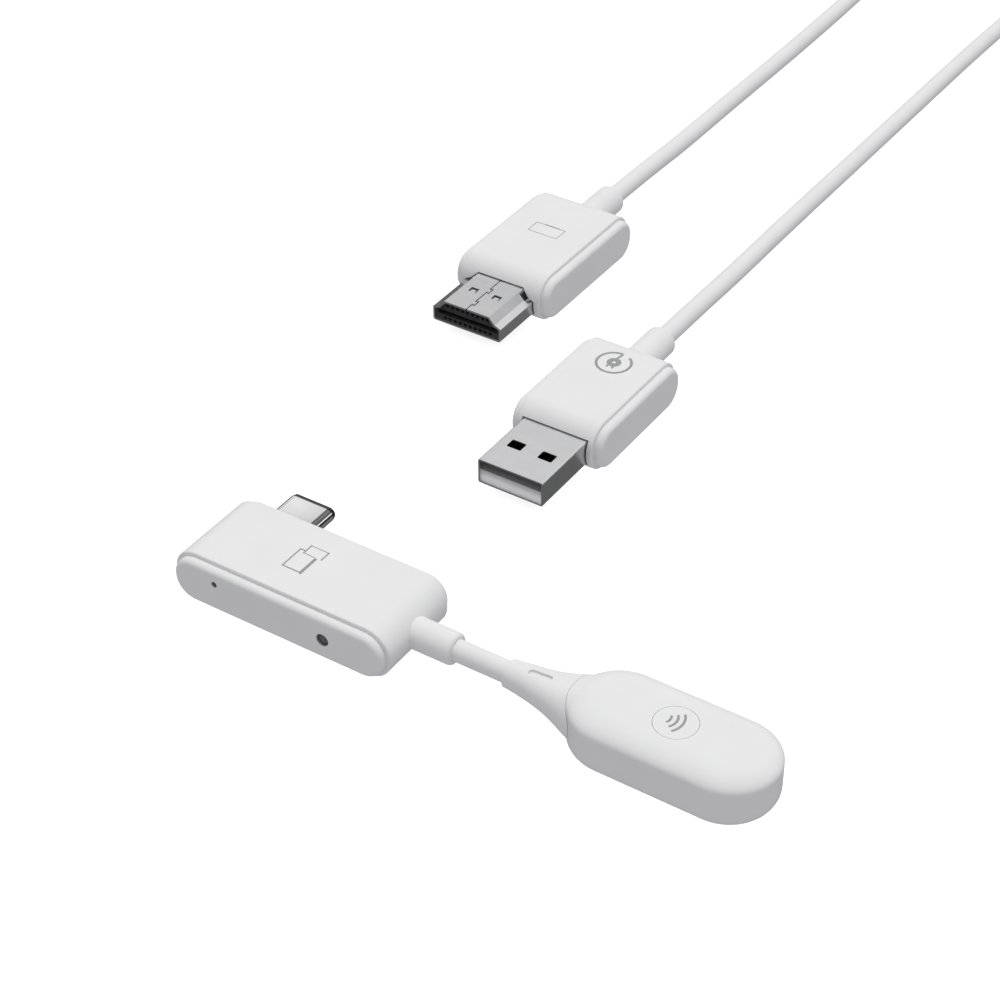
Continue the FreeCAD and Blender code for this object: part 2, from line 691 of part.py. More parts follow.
def make_usb_head():
    front, rear = USB_FRONT, USB_REAR
    half_plug = USB_PLUG_WIDTH / 2
    low, high = MID - USB_PLUG_HEIGHT / 2, MID + USB_PLUG_HEIGHT / 2
    plug_rear = front + USB_INSIDE
    body = band("X", USB_X, USB_HALF_BAND, front, rear)
    plug_gap = None
    for depth, gap in ((WALL_CUT, PLUG_FIT), (RELIEF_DEPTH, PLUG_RELIEF)):
        step = box(
            USB_X - half_plug - gap, USB_X + half_plug + gap, front - 1, front + depth,
            low - gap, high + gap,
        )
        plug_gap = plug_gap.fuse(step) if plug_gap else step
    sleeve_hole = rod(HEAD_SLEEVE_RADIUS, (USB_X, rear - WALL_CUT, MID), (USB_X, rear + 1, MID))
    save("usb_band", body.cut(plug_gap).cut(sleeve_hole))
    save("usb_left_cap", cap("X", -1, USB_X, USB_HALF_BAND, front, rear))
    save("usb_right_cap", cap("X", 1, USB_X, USB_HALF_BAND, front, rear))

    wall = USB_SHELL_WALL
    shell = bar("Y", 0, plug_rear, USB_X - half_plug, USB_X + half_plug, low, high, USB_SHELL_ROUND)
    shell = shell.cut(
        box(
            USB_X - half_plug + wall, USB_X + half_plug - wall, -1, plug_rear + 1,
            low + wall, high - wall,
        )
    )
    half_window = USB_WINDOW_WIDE / 2
    for side in (-1, 1):
        centre = USB_X + side * USB_WINDOW_OUT
        for z in (low, high - wall):
            window = box(
                centre - half_window, centre + half_window,
                USB_WINDOW_NEAR, USB_WINDOW_FAR, z - wall, z + 2 * wall,
            )
            upright = [e for e in window.Edges if e.BoundBox.ZLength > wall]
            shell = shell.cut(window.makeFillet(USB_WINDOW_ROUND, upright))
    save("usb_plug_shell", shell)

    inner = half_plug - wall
    tongue_top = low + USB_TONGUE_TOP
    tongue = box(
        USB_X - inner, USB_X + inner, USB_TONGUE_RECESS, plug_rear, low + wall, tongue_top
    )
    block = box(
        USB_X - inner, USB_X + inner, front - 1, plug_rear, tongue_top, high - wall
    )
    save("usb_tongue", tongue.fuse(block).removeSplitter())
    strips = []
    for place, start in USB_CONTACTS:
        x = USB_X + place
        strips.append(
            box(
                x - USB_CONTACT_HALF, x + USB_CONTACT_HALF, start, front - 1,
                tongue_top, tongue_top + CONTACT_THICK,
            )
        )
    save("usb_contacts", Part.makeCompound(strips))

    board_low = MID - BOARD_THICK
    board = box(
        USB_X - USB_BOARD_HALF, USB_X + USB_BOARD_HALF, plug_rear, rear - HEAD_BOARD_END,
        board_low, MID,
    )
    save("usb_board", board)
    parts = [chip(*POWER_CHIP_AT, MID, POWER_CHIP)]
    parts += [chip(POWER_CAPACITOR_X, y, MID, POWER_CAPACITOR) for y in POWER_CAPACITOR_YS]
    save("usb_power_parts", Part.makeCompound(parts))
    room = tunnel("X", USB_X - USB_HALF_BAND, USB_X + USB_HALF_BAND, front, rear, FIT_GAP)
    relief = sleeve(
        (USB_X, rear - WALL, MID), (USB_X, rear + HEAD_SLEEVE_LENGTH, MID),
        HEAD_SLEEVE_RADIUS, room,
    )
    save("usb_lead_sleeve", relief)


# ---- HDMI head ----


def hdmi_section(start, end, shrink):
    """The plug's section: upright sides, then a shallow ledge and a steep shoulder."""
    half = HDMI_PLUG_WIDTH / 2 - shrink
    low = MID - HDMI_PLUG_HEIGHT / 2
    high = low + HDMI_PLUG_HEIGHT - shrink
    side = low + HDMI_SIDE_HEIGHT - shrink * SIDE_SHARE
    kink = low + HDMI_KINK_HEIGHT - shrink * KINK_SHARE
    waist = HDMI_PLUG_WIDTH / 2 - HDMI_LEDGE - shrink * WAIST_SHARE
    top = HDMI_PLUG_WIDTH / 2 - HDMI_SHOULDER - shrink * TOP_SHARE
    right = ((half, low + shrink), (half, side), (waist, kink), (top, high))
    left = [(-x, z) for x, z in reversed(right)]
    points = [Vector(HDMI_X + x, start, z) for x, z in (*right, *left)]
    face = Part.Face(Part.makePolygon(points + points[:1]))
    solid = face.extrude(Vector(0, end - start, 0))
    bottom = [
        e for e in solid.Edges
        if e.BoundBox.XLength < 1e-4 and e.BoundBox.ZMax < low + shrink + 1e-3
    ]
    return solid.makeFillet(HDMI_BOTTOM_ROUND - shrink / 2, bottom)


def hdmi_shell_openings(front, tip):
    """The folded sheet's dovetailed seam, two spring flaps and the notches at the root."""
    top = MID + HDMI_PLUG_HEIGHT / 2
    under = top - HDMI_SHELL_WALL - 2 * FIT_GAP
    path = [(0, -1)]
    for near in TAB_STARTS:
        far = near + TAB_LENGTH
        path += [(0, near + TAB_SLANT), (TAB_REACH, near), (TAB_REACH, far), (0, far - TAB_SLANT)]
    path.append((0, front - tip + 1))
    half = SEAM_WIDTH / 2
    gaps = []
    for (x0, y0), (x1, y1) in zip(path, path[1:]):
        start = Vector(HDMI_X + x0, tip + y0, under)
        run = Vector(x1 - x0, y1 - y0, 0)
        gap = Part.makeBox(run.Length + SEAM_WIDTH, SEAM_WIDTH, 1.0, Vector(-half, -half, 0))
        gap.rotate(Vector(0, 0, 0), Vector(0, 0, 1), math.degrees(math.atan2(run.y, run.x)))
        gap.translate(start)
        gaps.append(gap)
    for place in FLAP_PLACES:
        left, right = HDMI_X + place - FLAP_WIDTH / 2, HDMI_X + place + FLAP_WIDTH / 2
        near, far = tip + FLAP_NEAR, tip + FLAP_FAR
        gaps.append(box(left, left + FLAP_LEFT_GAP, near, far, under, top + 1))
        gaps.append(box(left, right, far - FLAP_FAR_GAP, far, under, top + 1))
        gaps.append(box(right - FLAP_RIGHT_GAP, right, near, far, under, top + 1))
    shoulder = MID - HDMI_PLUG_HEIGHT / 2 + HDMI_SIDE_HEIGHT + NOTCH_ABOVE_SIDE
    inner_edge = HDMI_PLUG_WIDTH / 2 - HDMI_SHOULDER + NOTCH_OUTSIDE_TOP
    for side in (-1, 1):
        near, far = sorted((HDMI_X + side * inner_edge, HDMI_X + side * (HDMI_PLUG_WIDTH / 2 + 1)))
        gaps.append(
            box(near, far, front - HDMI_COLLAR, front + NOTCH_BEHIND, shoulder, top + 1)
        )
    return Part.makeCompound(gaps)


def make_hdmi_head():
    front, rear, tip = HDMI_FRONT, HDMI_REAR, HDMI_TIP
    plug_rear = front + HDMI_INSIDE
    body = band("X", HDMI_X, HDMI_HALF_BAND, front, rear)
    plug_gap = hdmi_section(front - 1, front + WALL_CUT, -PLUG_FIT)
    plug_gap = plug_gap.fuse(hdmi_section(front - 1, front + RELIEF_DEPTH, -PLUG_RELIEF))
    sleeve_hole = rod(HEAD_SLEEVE_RADIUS, (HDMI_X, rear - WALL_CUT, MID), (HDMI_X, rear + 1, MID))
    save("hdmi_band", body.cut(plug_gap).cut(sleeve_hole))
    save("hdmi_left_cap", cap("X", -1, HDMI_X, HDMI_HALF_BAND, front, rear))
    save("hdmi_right_cap", cap("X", 1, HDMI_X, HDMI_HALF_BAND, front, rear))

    shell = hdmi_section(tip, plug_rear, 0).cut(
        hdmi_section(tip - 1, plug_rear + 1, HDMI_SHELL_WALL)
    )
    shell = shell.cut(hdmi_shell_openings(front, tip))
    save("hdmi_plug_shell", shell)

    insulator = hdmi_section(tip + HDMI_RECESS, plug_rear, HDMI_SHELL_WALL)
    slot = box(
        HDMI_X - SLOT_HALF, HDMI_X + SLOT_HALF, tip, tip + SLOT_DEEP,
        MID + SLOT_LOW, MID + SLOT_HIGH,
    )
    insulator = insulator.cut(slot)
    strips = []
    for wall, count, thick, pit_height in HDMI_ROWS:
        for number in range(count):
            x = HDMI_X + (number - (count - 1) / 2) * CONTACT_PITCH
            low, high = sorted((MID + wall, MID + wall + thick))
            strips.append(
                box(
                    x - CONTACT_HALF, x + CONTACT_HALF,
                    tip + CONTACT_NEAR, tip + CONTACT_FAR, low, high,
                )
            )
            height = MID + pit_height
            pit = rod(PIT_RADIUS, (x, tip, height), (x, tip + PIT_DEEP, height))
            insulator = insulator.cut(pit)
    save("hdmi_insulator", insulator)
    save("hdmi_contacts", Part.makeCompound(strips))

    board_low = MID - BOARD_THICK
    board = box(
        HDMI_X - HDMI_BOARD_HALF, HDMI_X + HDMI_BOARD_HALF, plug_rear, rear - HEAD_BOARD_END,
        board_low, MID,
    )
    save("hdmi_board", board)
    save("hdmi_signal_chip", chip(HDMI_X, HDMI_CHIP_Y, MID, SIGNAL_CHIP))
    room = tunnel("X", HDMI_X - HDMI_HALF_BAND, HDMI_X + HDMI_HALF_BAND, front, rear, FIT_GAP)
    relief = sleeve(
        (HDMI_X, rear - WALL, MID), (HDMI_X, rear + HEAD_SLEEVE_LENGTH, MID),
        HEAD_SLEEVE_RADIUS, room,
    )
    save("hdmi_lead_sleeve", relief)


# ---- receiver pod ----


def rx_puck(inset):
    """The antenna pod's shape turned to lie along Y, or what lies that far inside it."""
    lying = puck(RX_NEAR_CENTRE, RX_FAR_CENTRE, 0, RX_RADIUS, inset)
    lying.rotate(Vector(0, 0, 0), Vector(0, 0, 1), 90)
    lying.translate(Vector(RX_X, 0, 0))
    return lying


def make_receiver_pod():
    near, far = RX_NEAR_CENTRE - RX_RADIUS, RX_FAR_CENTRE + RX_RADIUS
    body = rx_puck(0).cut(rx_puck(POD_WALL))
    room = rx_puck(POD_WALL + FIT_GAP)
    for node, wall, side in (("rx_hdmi_sleeve", near, -1), ("rx_power_sleeve", far, 1)):
        inner = wall - side * POD_WALL
        hole = rod(RX_SLEEVE_RADIUS, (RX_X, inner - side * 2, MID), (RX_X, wall + side, MID))
        body = body.cut(hole)
        relief = sleeve(
            (RX_X, inner, MID), (RX_X, wall + side * RX_SLEEVE_LENGTH, MID),
            RX_SLEEVE_RADIUS, room,
        )
        save(node, relief)
    base_zone = box(
        RX_X - RX_RADIUS - 1, RX_X + RX_RADIUS + 1, near - 1, far + 1, -1, BASE_HEIGHT
    )
    save("rx_base", body.common(base_zone))
    save("rx_upper_shell", body.cut(base_zone))

    middle = (near + far) / 2
    top = POD_BOARD_LOW + BOARD_THICK
    board = box(
        RX_X - RX_BOARD_HALF, RX_X + RX_BOARD_HALF, near + RX_BOARD_END, far - RX_BOARD_END,
        POD_BOARD_LOW, top,
    )
    save("rx_board", board)
    save("rx_video_chip", chip(RX_X, middle - RX_CHIP_BACK, top, RX_CHIP))
    save("rx_radio_can", can(RX_X, middle + RX_CAN_AHEAD, top, RX_CAN))
    save("rx_antenna", chip(RX_X, far - RX_ANTENNA_END, top, RX_ANTENNA))


# ---- free leads ----

# Straight runs' corner points, from each head to the receiver pod.
HDMI_ROUTE = (
    (HDMI_X, HDMI_REAR + HEAD_SLEEVE_LENGTH, MID),
    (HDMI_X, 93.5, MID),
    (-26.2, 109.0, 2.6),
    (-27.0, 130.0, 1.78),
    (-26.9, 155.0, 1.75),
    (-27.1, 179.0, 1.78),
    (-27.0, 197.0, 2.7),
    (RX_X, 209.5, MID),
    (RX_X, RX_NEAR_CENTRE - RX_RADIUS - RX_SLEEVE_LENGTH, MID),
)
USB_ROUTE = (
    (USB_X, USB_REAR + HEAD_SLEEVE_LENGTH, MID),
    (USB_X, 58.5, MID),
    (5.0, 74.0, 2.6),
    (4.3, 95.0, 1.78),
    (4.5, 121.0, 1.75),
    (4.7, 150.0, 1.78),
    (4.9, 182.0, 1.75),
    (6.2, 214.0, 1.78),
    (8.6, 246.0, 1.75),
    (10.3, 276.0, 1.95),
    (COIL_X + COIL_OUTER_TURN, COIL_Y, COIL_LOW),
)
TAIL_ROUTE = (
    (COIL_X - COIL_OUTER_TURN, COIL_Y, COIL_HIGH),
    (COIL_X - COIL_OUTER_TURN, 298.0, COIL_HIGH - 0.25),
    (RX_X, 289.5, MID),
    (RX_X, RX_END, MID),
)


def route_wire(points, name):
    """Straight runs joined by tangent arcs, each as large as its two runs allow."""
    points = [Vector(*p) for p in points]
    edges = []
    here = points[0]
    radii = []
    for before, corner, after in zip(points, points[1:], points[2:]):
        into = (corner - before).normalize()
        away = (after - corner).normalize()
        half_turn = into.getAngle(away) / 2
        reach = BEND_SHARE * min((corner - before).Length, (after - corner).Length)
        radius = reach / math.tan(half_turn)
        first, last = corner - into * reach, corner + away * reach
        inward = (away - into).normalize()
        middle = corner + inward * (radius / math.cos(half_turn) - radius)
        edges.append(Part.LineSegment(here, first).toShape())
        edges.append(Part.Arc(first, middle, last).toShape())
        here = last
        radii.append(round(radius, 1))
    edges.append(Part.LineSegment(here, points[-1]).toShape())
    print(name, "bend radii", radii)
    return Part.Wire(edges)


def tube(points, name):
    path = route_wire(points, name)
    start = Vector(*points[0])
    heading = (Vector(*points[1]) - start).normalize()
    ring = Part.Wire(Part.makeCircle(LEAD_RADIUS, start, heading))
    shape = path.makePipe(Part.Face(ring))
    expected = math.pi * LEAD_RADIUS ** 2 * path.Length
    print(name, "length", round(path.Length, 2), "of expected", round(shape.Volume / expected, 5))
    return shape


def make_leads():
    save("hdmi_lead", tube(HDMI_ROUTE, "hdmi_lead"))
    save("usb_lead", tube(USB_ROUTE, "usb_lead"))
    save("usb_lead_tail", tube(TAIL_ROUTE, "usb_lead_tail"))

    inner = COIL_INNER_TURN - LEAD_RADIUS
    outer = COIL_OUTER_TURN + LEAD_RADIUS
    low, high = COIL_LOW - LEAD_RADIUS, COIL_HIGH + LEAD_RADIUS
    centre = Vector(COIL_X, COIL_Y, low)
    coil = Part.makeCylinder(outer, high - low, centre).cut(
        Part.makeCylinder(inner, high - low, centre)
    )
    coil = coil.makeFillet(COIL_ROUND, [e for e in coil.Edges if e.Closed])
    save("usb_lead_coil", coil)

    reach = TIE_THICK + TIE_GAP
    tie_y = (COIL_Y + inner - reach, COIL_Y + outer + reach)
    tie_z = (low - reach, high + reach)
    half = TIE_WIDTH / 2
    outside = box(COIL_X - half, COIL_X + half, *tie_y, *tie_z)
    inside = box(
        COIL_X - half, COIL_X + half, tie_y[0] + TIE_THICK, tie_y[1] - TIE_THICK,
        tie_z[0] + TIE_THICK, tie_z[1] - TIE_THICK,
    )
    save("usb_lead_tie", outside.cut(inside))


make_dongle()
make_pod_lead()
make_pod()
make_pod_inside()
make_usb_head()
make_hdmi_head()
make_receiver_pod()
make_leads()
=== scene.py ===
import json
import math

import bmesh
import bpy
from mathutils import Matrix, Vector

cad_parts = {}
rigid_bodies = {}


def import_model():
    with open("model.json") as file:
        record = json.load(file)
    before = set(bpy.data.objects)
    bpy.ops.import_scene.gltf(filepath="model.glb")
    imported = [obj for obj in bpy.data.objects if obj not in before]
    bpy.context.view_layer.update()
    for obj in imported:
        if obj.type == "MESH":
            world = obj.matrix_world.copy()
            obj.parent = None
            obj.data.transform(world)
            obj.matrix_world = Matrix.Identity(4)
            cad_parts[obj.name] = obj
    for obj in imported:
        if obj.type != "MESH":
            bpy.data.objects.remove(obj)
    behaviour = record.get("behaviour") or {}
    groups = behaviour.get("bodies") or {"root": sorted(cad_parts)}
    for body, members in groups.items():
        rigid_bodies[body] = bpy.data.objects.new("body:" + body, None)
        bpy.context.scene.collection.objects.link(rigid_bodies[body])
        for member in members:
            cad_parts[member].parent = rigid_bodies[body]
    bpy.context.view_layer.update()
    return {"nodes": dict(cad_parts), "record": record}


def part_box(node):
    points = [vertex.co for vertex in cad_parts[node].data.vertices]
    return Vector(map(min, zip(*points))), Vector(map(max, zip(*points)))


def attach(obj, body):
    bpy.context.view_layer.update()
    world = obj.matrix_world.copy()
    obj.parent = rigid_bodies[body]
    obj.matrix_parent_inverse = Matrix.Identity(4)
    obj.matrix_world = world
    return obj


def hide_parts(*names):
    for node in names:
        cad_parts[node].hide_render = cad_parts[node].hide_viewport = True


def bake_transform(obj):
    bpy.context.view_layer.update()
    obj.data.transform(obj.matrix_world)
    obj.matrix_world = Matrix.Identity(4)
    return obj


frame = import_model()
nodes = frame["nodes"]

# Routes and marks are written in millimetres from the front left corner of the USB-A plug,
# as the CAD model's layout is, and moved into the frame from where the plug really lies.
MM = 0.001
plug_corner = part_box("usb_plug_shell")[0]


def place(x, y, z=0.0):
    return Vector((plug_corner.x + x * MM, plug_corner.y + y * MM, z * MM))


def centre_of(node):
    low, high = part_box(node)
    return (low + high) / 2


# ---------------------------------------------------------------- camera

CAMERA_AT = place(162.306, -239.818, 224.808)
CAMERA_AZIMUTH = 33.417
CAMERA_ELEVATION = 38.02
CAMERA_ROLL = -0.357
CAMERA_LENS = 83.448
SENSOR_WIDTH = 36.0
NEAREST = 0.01
FARTHEST = 20.0


def make_camera():
    camera = bpy.data.objects.new("camera", bpy.data.cameras.new("camera"))
    bpy.context.scene.collection.objects.link(camera)
    azimuth, elevation = math.radians(CAMERA_AZIMUTH), math.radians(CAMERA_ELEVATION)
    turn = Matrix.Rotation(azimuth, 3, "Z") @ Matrix.Rotation(math.pi / 2 - elevation, 3, "X")
    turn = turn @ Matrix.Rotation(math.radians(CAMERA_ROLL), 3, "Z")
    camera.matrix_world = Matrix.Translation(CAMERA_AT) @ turn.to_4x4()
    camera.data.sensor_width = SENSOR_WIDTH
    camera.data.lens = CAMERA_LENS
    camera.data.clip_start = NEAREST
    camera.data.clip_end = FARTHEST
    bpy.context.scene.camera = camera


make_camera()


# ---------------------------------------------------------------- free leads

LEAD_DIAMETER = 3.4 * MM
LEAD_HEIGHT = 4.4          # where a lead enters a housing
HDMI_X = -25.2
RX_X = -27.3
COIL_X = -9.3
COIL_Y = 306.0
OUTER_TURN = 19.7
INNER_TURN = 16.2
LOW_LAYER = 2.15
HIGH_LAYER = 5.65

HDMI_ROUTE = (
    (HDMI_X, 82.55, LEAD_HEIGHT),
    (HDMI_X, 93.5, LEAD_HEIGHT),
    (-26.2, 109.0, 2.6),
    (-27.0, 130.0, 1.78),
    (-26.9, 155.0, 1.75),
    (-27.1, 179.0, 1.78),
    (-27.0, 197.0, 2.7),
    (RX_X, 209.5, LEAD_HEIGHT),
    (RX_X, 220.0, LEAD_HEIGHT),
)
USB_ROUTE = (
    (6.0, 47.2, LEAD_HEIGHT),
    (6.0, 58.5, LEAD_HEIGHT),
    (5.0, 74.0, 2.6),
    (4.3, 95.0, 1.78),
    (4.5, 121.0, 1.75),
    (4.7, 150.0, 1.78),
    (4.9, 182.0, 1.75),
    (6.2, 214.0, 1.78),
    (8.6, 246.0, 1.75),
    (10.3, 276.0, 1.95),
)
TAIL_ROUTE = (
    (COIL_X - OUTER_TURN, 298.0, HIGH_LAYER - 0.25),
    (RX_X, 289.5, LEAD_HEIGHT),
    (RX_X, 280.8, LEAD_HEIGHT),
)

# Where the coil's turns change: degrees, radius and layer, from its right-hand side.
COIL_STAGES = (
    (0, OUTER_TURN, LOW_LAYER),
    (270, OUTER_TURN, LOW_LAYER),
    (345, INNER_TURN, LOW_LAYER),
    (555, INNER_TURN, LOW_LAYER),
    (630, INNER_TURN, HIGH_LAYER),
    (900, INNER_TURN, HIGH_LAYER),
    (975, OUTER_TURN, HIGH_LAYER),
    (1260, OUTER_TURN, HIGH_LAYER),
)
COIL_STEP = 15


def coil_point(angle):
    """A point on the coil's turns, easing from one stage's radius and layer to the next."""
    for (a0, r0, z0), (a1, r1, z1) in zip(COIL_STAGES, COIL_STAGES[1:]):
        if angle <= a1:
            share = (angle - a0) / (a1 - a0)
            ease = share * share * (3 - 2 * share)
            radius, height = r0 + (r1 - r0) * ease, z0 + (z1 - z0) * ease
            break
    turn = math.radians(angle)
    return (COIL_X + radius * math.cos(turn), COIL_Y + radius * math.sin(turn), height)


def make_lead(name, points):
    """A lead of the one diameter along a smooth spline steered by the route's points."""
    curve = bpy.data.curves.new(name, "CURVE")
    curve.dimensions = "3D"
    curve.bevel_depth = 1.0
    curve.bevel_resolution = 8
    curve.resolution_u = 10
    curve.use_fill_caps = True
    spline = curve.splines.new("NURBS")
    spline.points.add(len(points) - 1)
    for control, point in zip(spline.points, points):
        control.co = (*place(*point), 1.0)
        control.radius = LEAD_DIAMETER / 2
    spline.order_u = 3
    spline.use_endpoint_u = True
    lead = bpy.data.objects.new(name, curve)
    bpy.context.scene.collection.objects.link(lead)
    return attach(lead, "receiver")


turns = [coil_point(a) for a in range(0, COIL_STAGES[-1][0] + 1, COIL_STEP)]
hdmi_cord = make_lead("hdmi_cord", HDMI_ROUTE)
power_cord = make_lead("power_cord", [*USB_ROUTE, *turns, *TAIL_ROUTE])
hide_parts("hdmi_lead")
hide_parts("usb_lead", "usb_lead_coil", "usb_lead_tail")


def join_rings(form, rings):
    """The walls between neighbouring rings of as many vertices each."""
    for near, far in zip(rings, rings[1:]):
        for side in range(len(near)):
            after = (side + 1) % len(near)
            form.faces.new((near[side], near[after], far[after], far[side]))


STRAP_HALF = 2.5           # half the strap's width
STRAP_THICK = 0.4
STRAP_REACH = 1.75         # from the turns' middles to the strap's inner face
STRAP_SLACK = 0.2          # more than that inside the coil
STRAP_GAP = 0.02           # under the tail
STRAP_STEPS = 8            # in each rounded corner
STRAP_ROUND = 0.12
TAIL = slice(3, 14)        # the part of a loop that the tail covers


def strap_loop(outset):
    """A rounded box round the tied turns, as pairs of Y and Z in millimetres."""
    corner = STRAP_REACH + outset
    low_y, high_y = COIL_Y + INNER_TURN - corner - STRAP_SLACK, COIL_Y + OUTER_TURN + corner
    low_z, high_z = LOW_LAYER - corner, HIGH_LAYER + corner
    loop = []
    for y, z, first in (
        (high_y - corner, high_z - corner, 0), (low_y + corner, high_z - corner, 90),
        (low_y + corner, low_z + corner, 180), (high_y - corner, low_z + corner, 270),
    ):
        for step in range(STRAP_STEPS + 1):
            angle = math.radians(first + 90 * step / STRAP_STEPS)
            loop.append((y + corner * math.cos(angle), z + corner * math.sin(angle)))
    return loop


def make_strap():
    """The hook-and-loop tie: a strip round the turns whose tail lies back over itself."""
    half, thick = STRAP_HALF, STRAP_THICK
    form = bmesh.new()

    def strip(near, far, closed):
        rings = []
        for (y0, z0), (y1, z1) in zip(near, far):
            corners = ((-half, y0, z0), (half, y0, z0), (half, y1, z1), (-half, y1, z1))
            rings.append([form.verts.new(place(COIL_X + x, y, z)) for x, y, z in corners])
        if closed:
            join_rings(form, [*rings, rings[0]])
        else:
            join_rings(form, rings)
            form.faces.new(rings[0])
            form.faces.new(rings[-1][::-1])

    strip(strap_loop(0), strap_loop(thick), True)
    strip(strap_loop(thick + STRAP_GAP)[TAIL], strap_loop(2 * thick)[TAIL], False)
    bmesh.ops.recalc_face_normals(form, faces=form.faces)
    mesh = bpy.data.meshes.new("tie_strap")
    form.to_mesh(mesh)
    form.free()
    strap = bpy.data.objects.new("tie_strap", mesh)
    bpy.context.scene.collection.objects.link(strap)
    rounding = strap.modifiers.new("rounding", "BEVEL")
    rounding.width = STRAP_ROUND * MM
    rounding.segments = 2
    rounding.limit_method = "ANGLE"
    rounding.angle_limit = math.radians(50)
    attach(strap, "receiver")
    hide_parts("usb_lead_tie")
    return strap


strap = make_strap()


# ---------------------------------------------------------------- materials


class Maker:
    """Builds one node material on the object's own coordinates, in metres."""

    def __init__(self, name):
        self.material = bpy.data.materials.new(name)
        self.material.use_nodes = True
        self.tree = self.material.node_tree
        self.shader = self.tree.nodes["Principled BSDF"]
        self.coordinates = self.tree.nodes.new("ShaderNodeTexCoord").outputs["Object"]

    def set(self, **values):
        for key, value in values.items():
            self.shader.inputs[key.replace("_", " ")].default_value = value
        return self

    def link(self, source, target):
        self.tree.links.new(source, target)

    def stretched(self, x, y, z):
        mapping = self.tree.nodes.new("ShaderNodeMapping")
        mapping.inputs["Scale"].default_value = (x, y, z)
        self.link(self.coordinates, mapping.inputs["Vector"])
        return mapping.outputs["Vector"]

    def noise(self, size_mm, detail=3.0, rough=0.55, vector=None):
        node = self.tree.nodes.new("ShaderNodeTexNoise")
        node.inputs["Scale"].default_value = 1.0 / (size_mm * MM)
        node.inputs["Detail"].default_value = detail
        node.inputs["Roughness"].default_value = rough
        self.link(vector or self.coordinates, node.inputs["Vector"])
        return node.outputs["Fac"]

    def calc(self, operation, value, *constants):
        node = self.tree.nodes.new("ShaderNodeMath")
        node.operation = operation
        self.link(value, node.inputs[0])
        for number, constant in enumerate(constants, 1):
            if isinstance(constant, float):
                node.inputs[number].default_value = constant
            else:
                self.link(constant, node.inputs[number])
        return node.outputs[0]

    def from_point(self, point):
        """X, Y and Z measured from a point on the piece."""
        shift = self.tree.nodes.new("ShaderNodeVectorMath")
        shift.operation = "SUBTRACT"
        shift.inputs[1].default_value = point
        self.link(self.coordinates, shift.inputs[0])
        split = self.tree.nodes.new("ShaderNodeSeparateXYZ")
        self.link(shift.outputs["Vector"], split.inputs[0])
        return split.outputs

    def stops(self, value, *pairs):
        """Greys at places along a value, given in millimetres."""
        first, last = pairs[0][0], pairs[-1][0]
        span = self.tree.nodes.new("ShaderNodeMapRange")
        span.inputs["From Min"].default_value = first * MM
        span.inputs["From Max"].default_value = last * MM
        self.link(value, span.inputs["Value"])
        node = self.tree.nodes.new("ShaderNodeValToRGB")
        elements = node.color_ramp.elements
        for number, (spot, grey) in enumerate(pairs):
            where = (spot - first) / (last - first)
            element = elements[number] if number < 2 else elements.new(where)
            element.position = where
            element.color = (grey, grey, grey, 1.0)
        self.link(span.outputs["Result"], node.inputs["Fac"])
        return node.outputs["Color"]

    def times(self, *colours):
        product = colours[0]
        for colour in colours[1:]:
            node = self.tree.nodes.new("ShaderNodeVectorMath")
            node.operation = "MULTIPLY"
            self.link(product, node.inputs[0])
            self.link(colour, node.inputs[1])
            product = node.outputs["Vector"]
        self.link(product, self.shader.inputs["Base Color"])
        return self

    def ramp(self, value, low, high, start=0.3, end=0.7):
        """Maps a noise to a colour or a grey number between two ends."""
        node = self.tree.nodes.new("ShaderNodeValToRGB")
        for element, place_, colour in zip(node.color_ramp.elements, (start, end), (low, high)):
            element.position = place_
            shade = colour if isinstance(colour, tuple) else (colour, colour, colour)
            element.color = (*shade, 1.0)
        self.link(value, node.inputs["Fac"])
        return node.outputs["Color"]

    def colour(self, value, low, high, **ends):
        self.link(self.ramp(value, low, high, **ends), self.shader.inputs["Base Color"])
        return self

    def roughness(self, value, low, high, **ends):
        self.link(self.ramp(value, low, high, **ends), self.shader.inputs["Roughness"])
        return self

    def bump(self, *layers):
        """layers are pairs of a height and its depth in millimetres."""
        normal = None
        for height, depth_mm in layers:
            node = self.tree.nodes.new("ShaderNodeBump")
            node.inputs["Strength"].default_value = 1.0
            node.inputs["Distance"].default_value = depth_mm * MM
            self.link(height, node.inputs["Height"])
            if normal:
                self.link(normal, node.inputs["Normal"])
            normal = node.outputs["Normal"]
        self.link(normal, self.shader.inputs["Normal"])
        return self


def white_plastic():
    """Moulded ABS with a fine spark-eroded texture and a faint sheen."""
    m = Maker("white_abs").set(IOR=1.5)
    broad, fine = m.noise(9.0, 2.0), m.noise(0.16, 4.0)
    m.colour(broad, (0.775, 0.775, 0.777), (0.795, 0.795, 0.795))
    m.roughness(m.noise(1.4, 4.0), 0.4, 0.52)
    return m.bump((fine, 0.006), (m.noise(3.0, 2.0), 0.004)).material


def lead_rubber():
    """Soft white elastomer, a little warmer and duller than the housings."""
    m = Maker("white_tpe").set(IOR=1.47, Subsurface_Weight=0.0)
    m.colour(m.noise(6.0, 3.0), (0.77, 0.77, 0.772), (0.8, 0.799, 0.797))
    m.roughness(m.noise(0.7, 4.0), 0.5, 0.64)
    return m.bump((m.noise(0.09, 3.0), 0.004), (m.noise(1.6, 2.0), 0.006)).material


def nickel(name, low, high, dull):
    """Plated sheet: fine rolling grain along the plug and small handling marks."""
    m = Maker(name).set(Metallic=1.0)
    rolled = m.noise(0.12, 4.0, 0.6, m.stretched(1.0, 0.06, 1.0))
    m.colour(m.noise(2.5, 4.0), low, high)
    m.roughness(rolled, dull, dull + 0.06)
    return m.bump((rolled, 0.0003), (m.noise(0.9, 5.0), 0.0004)).material


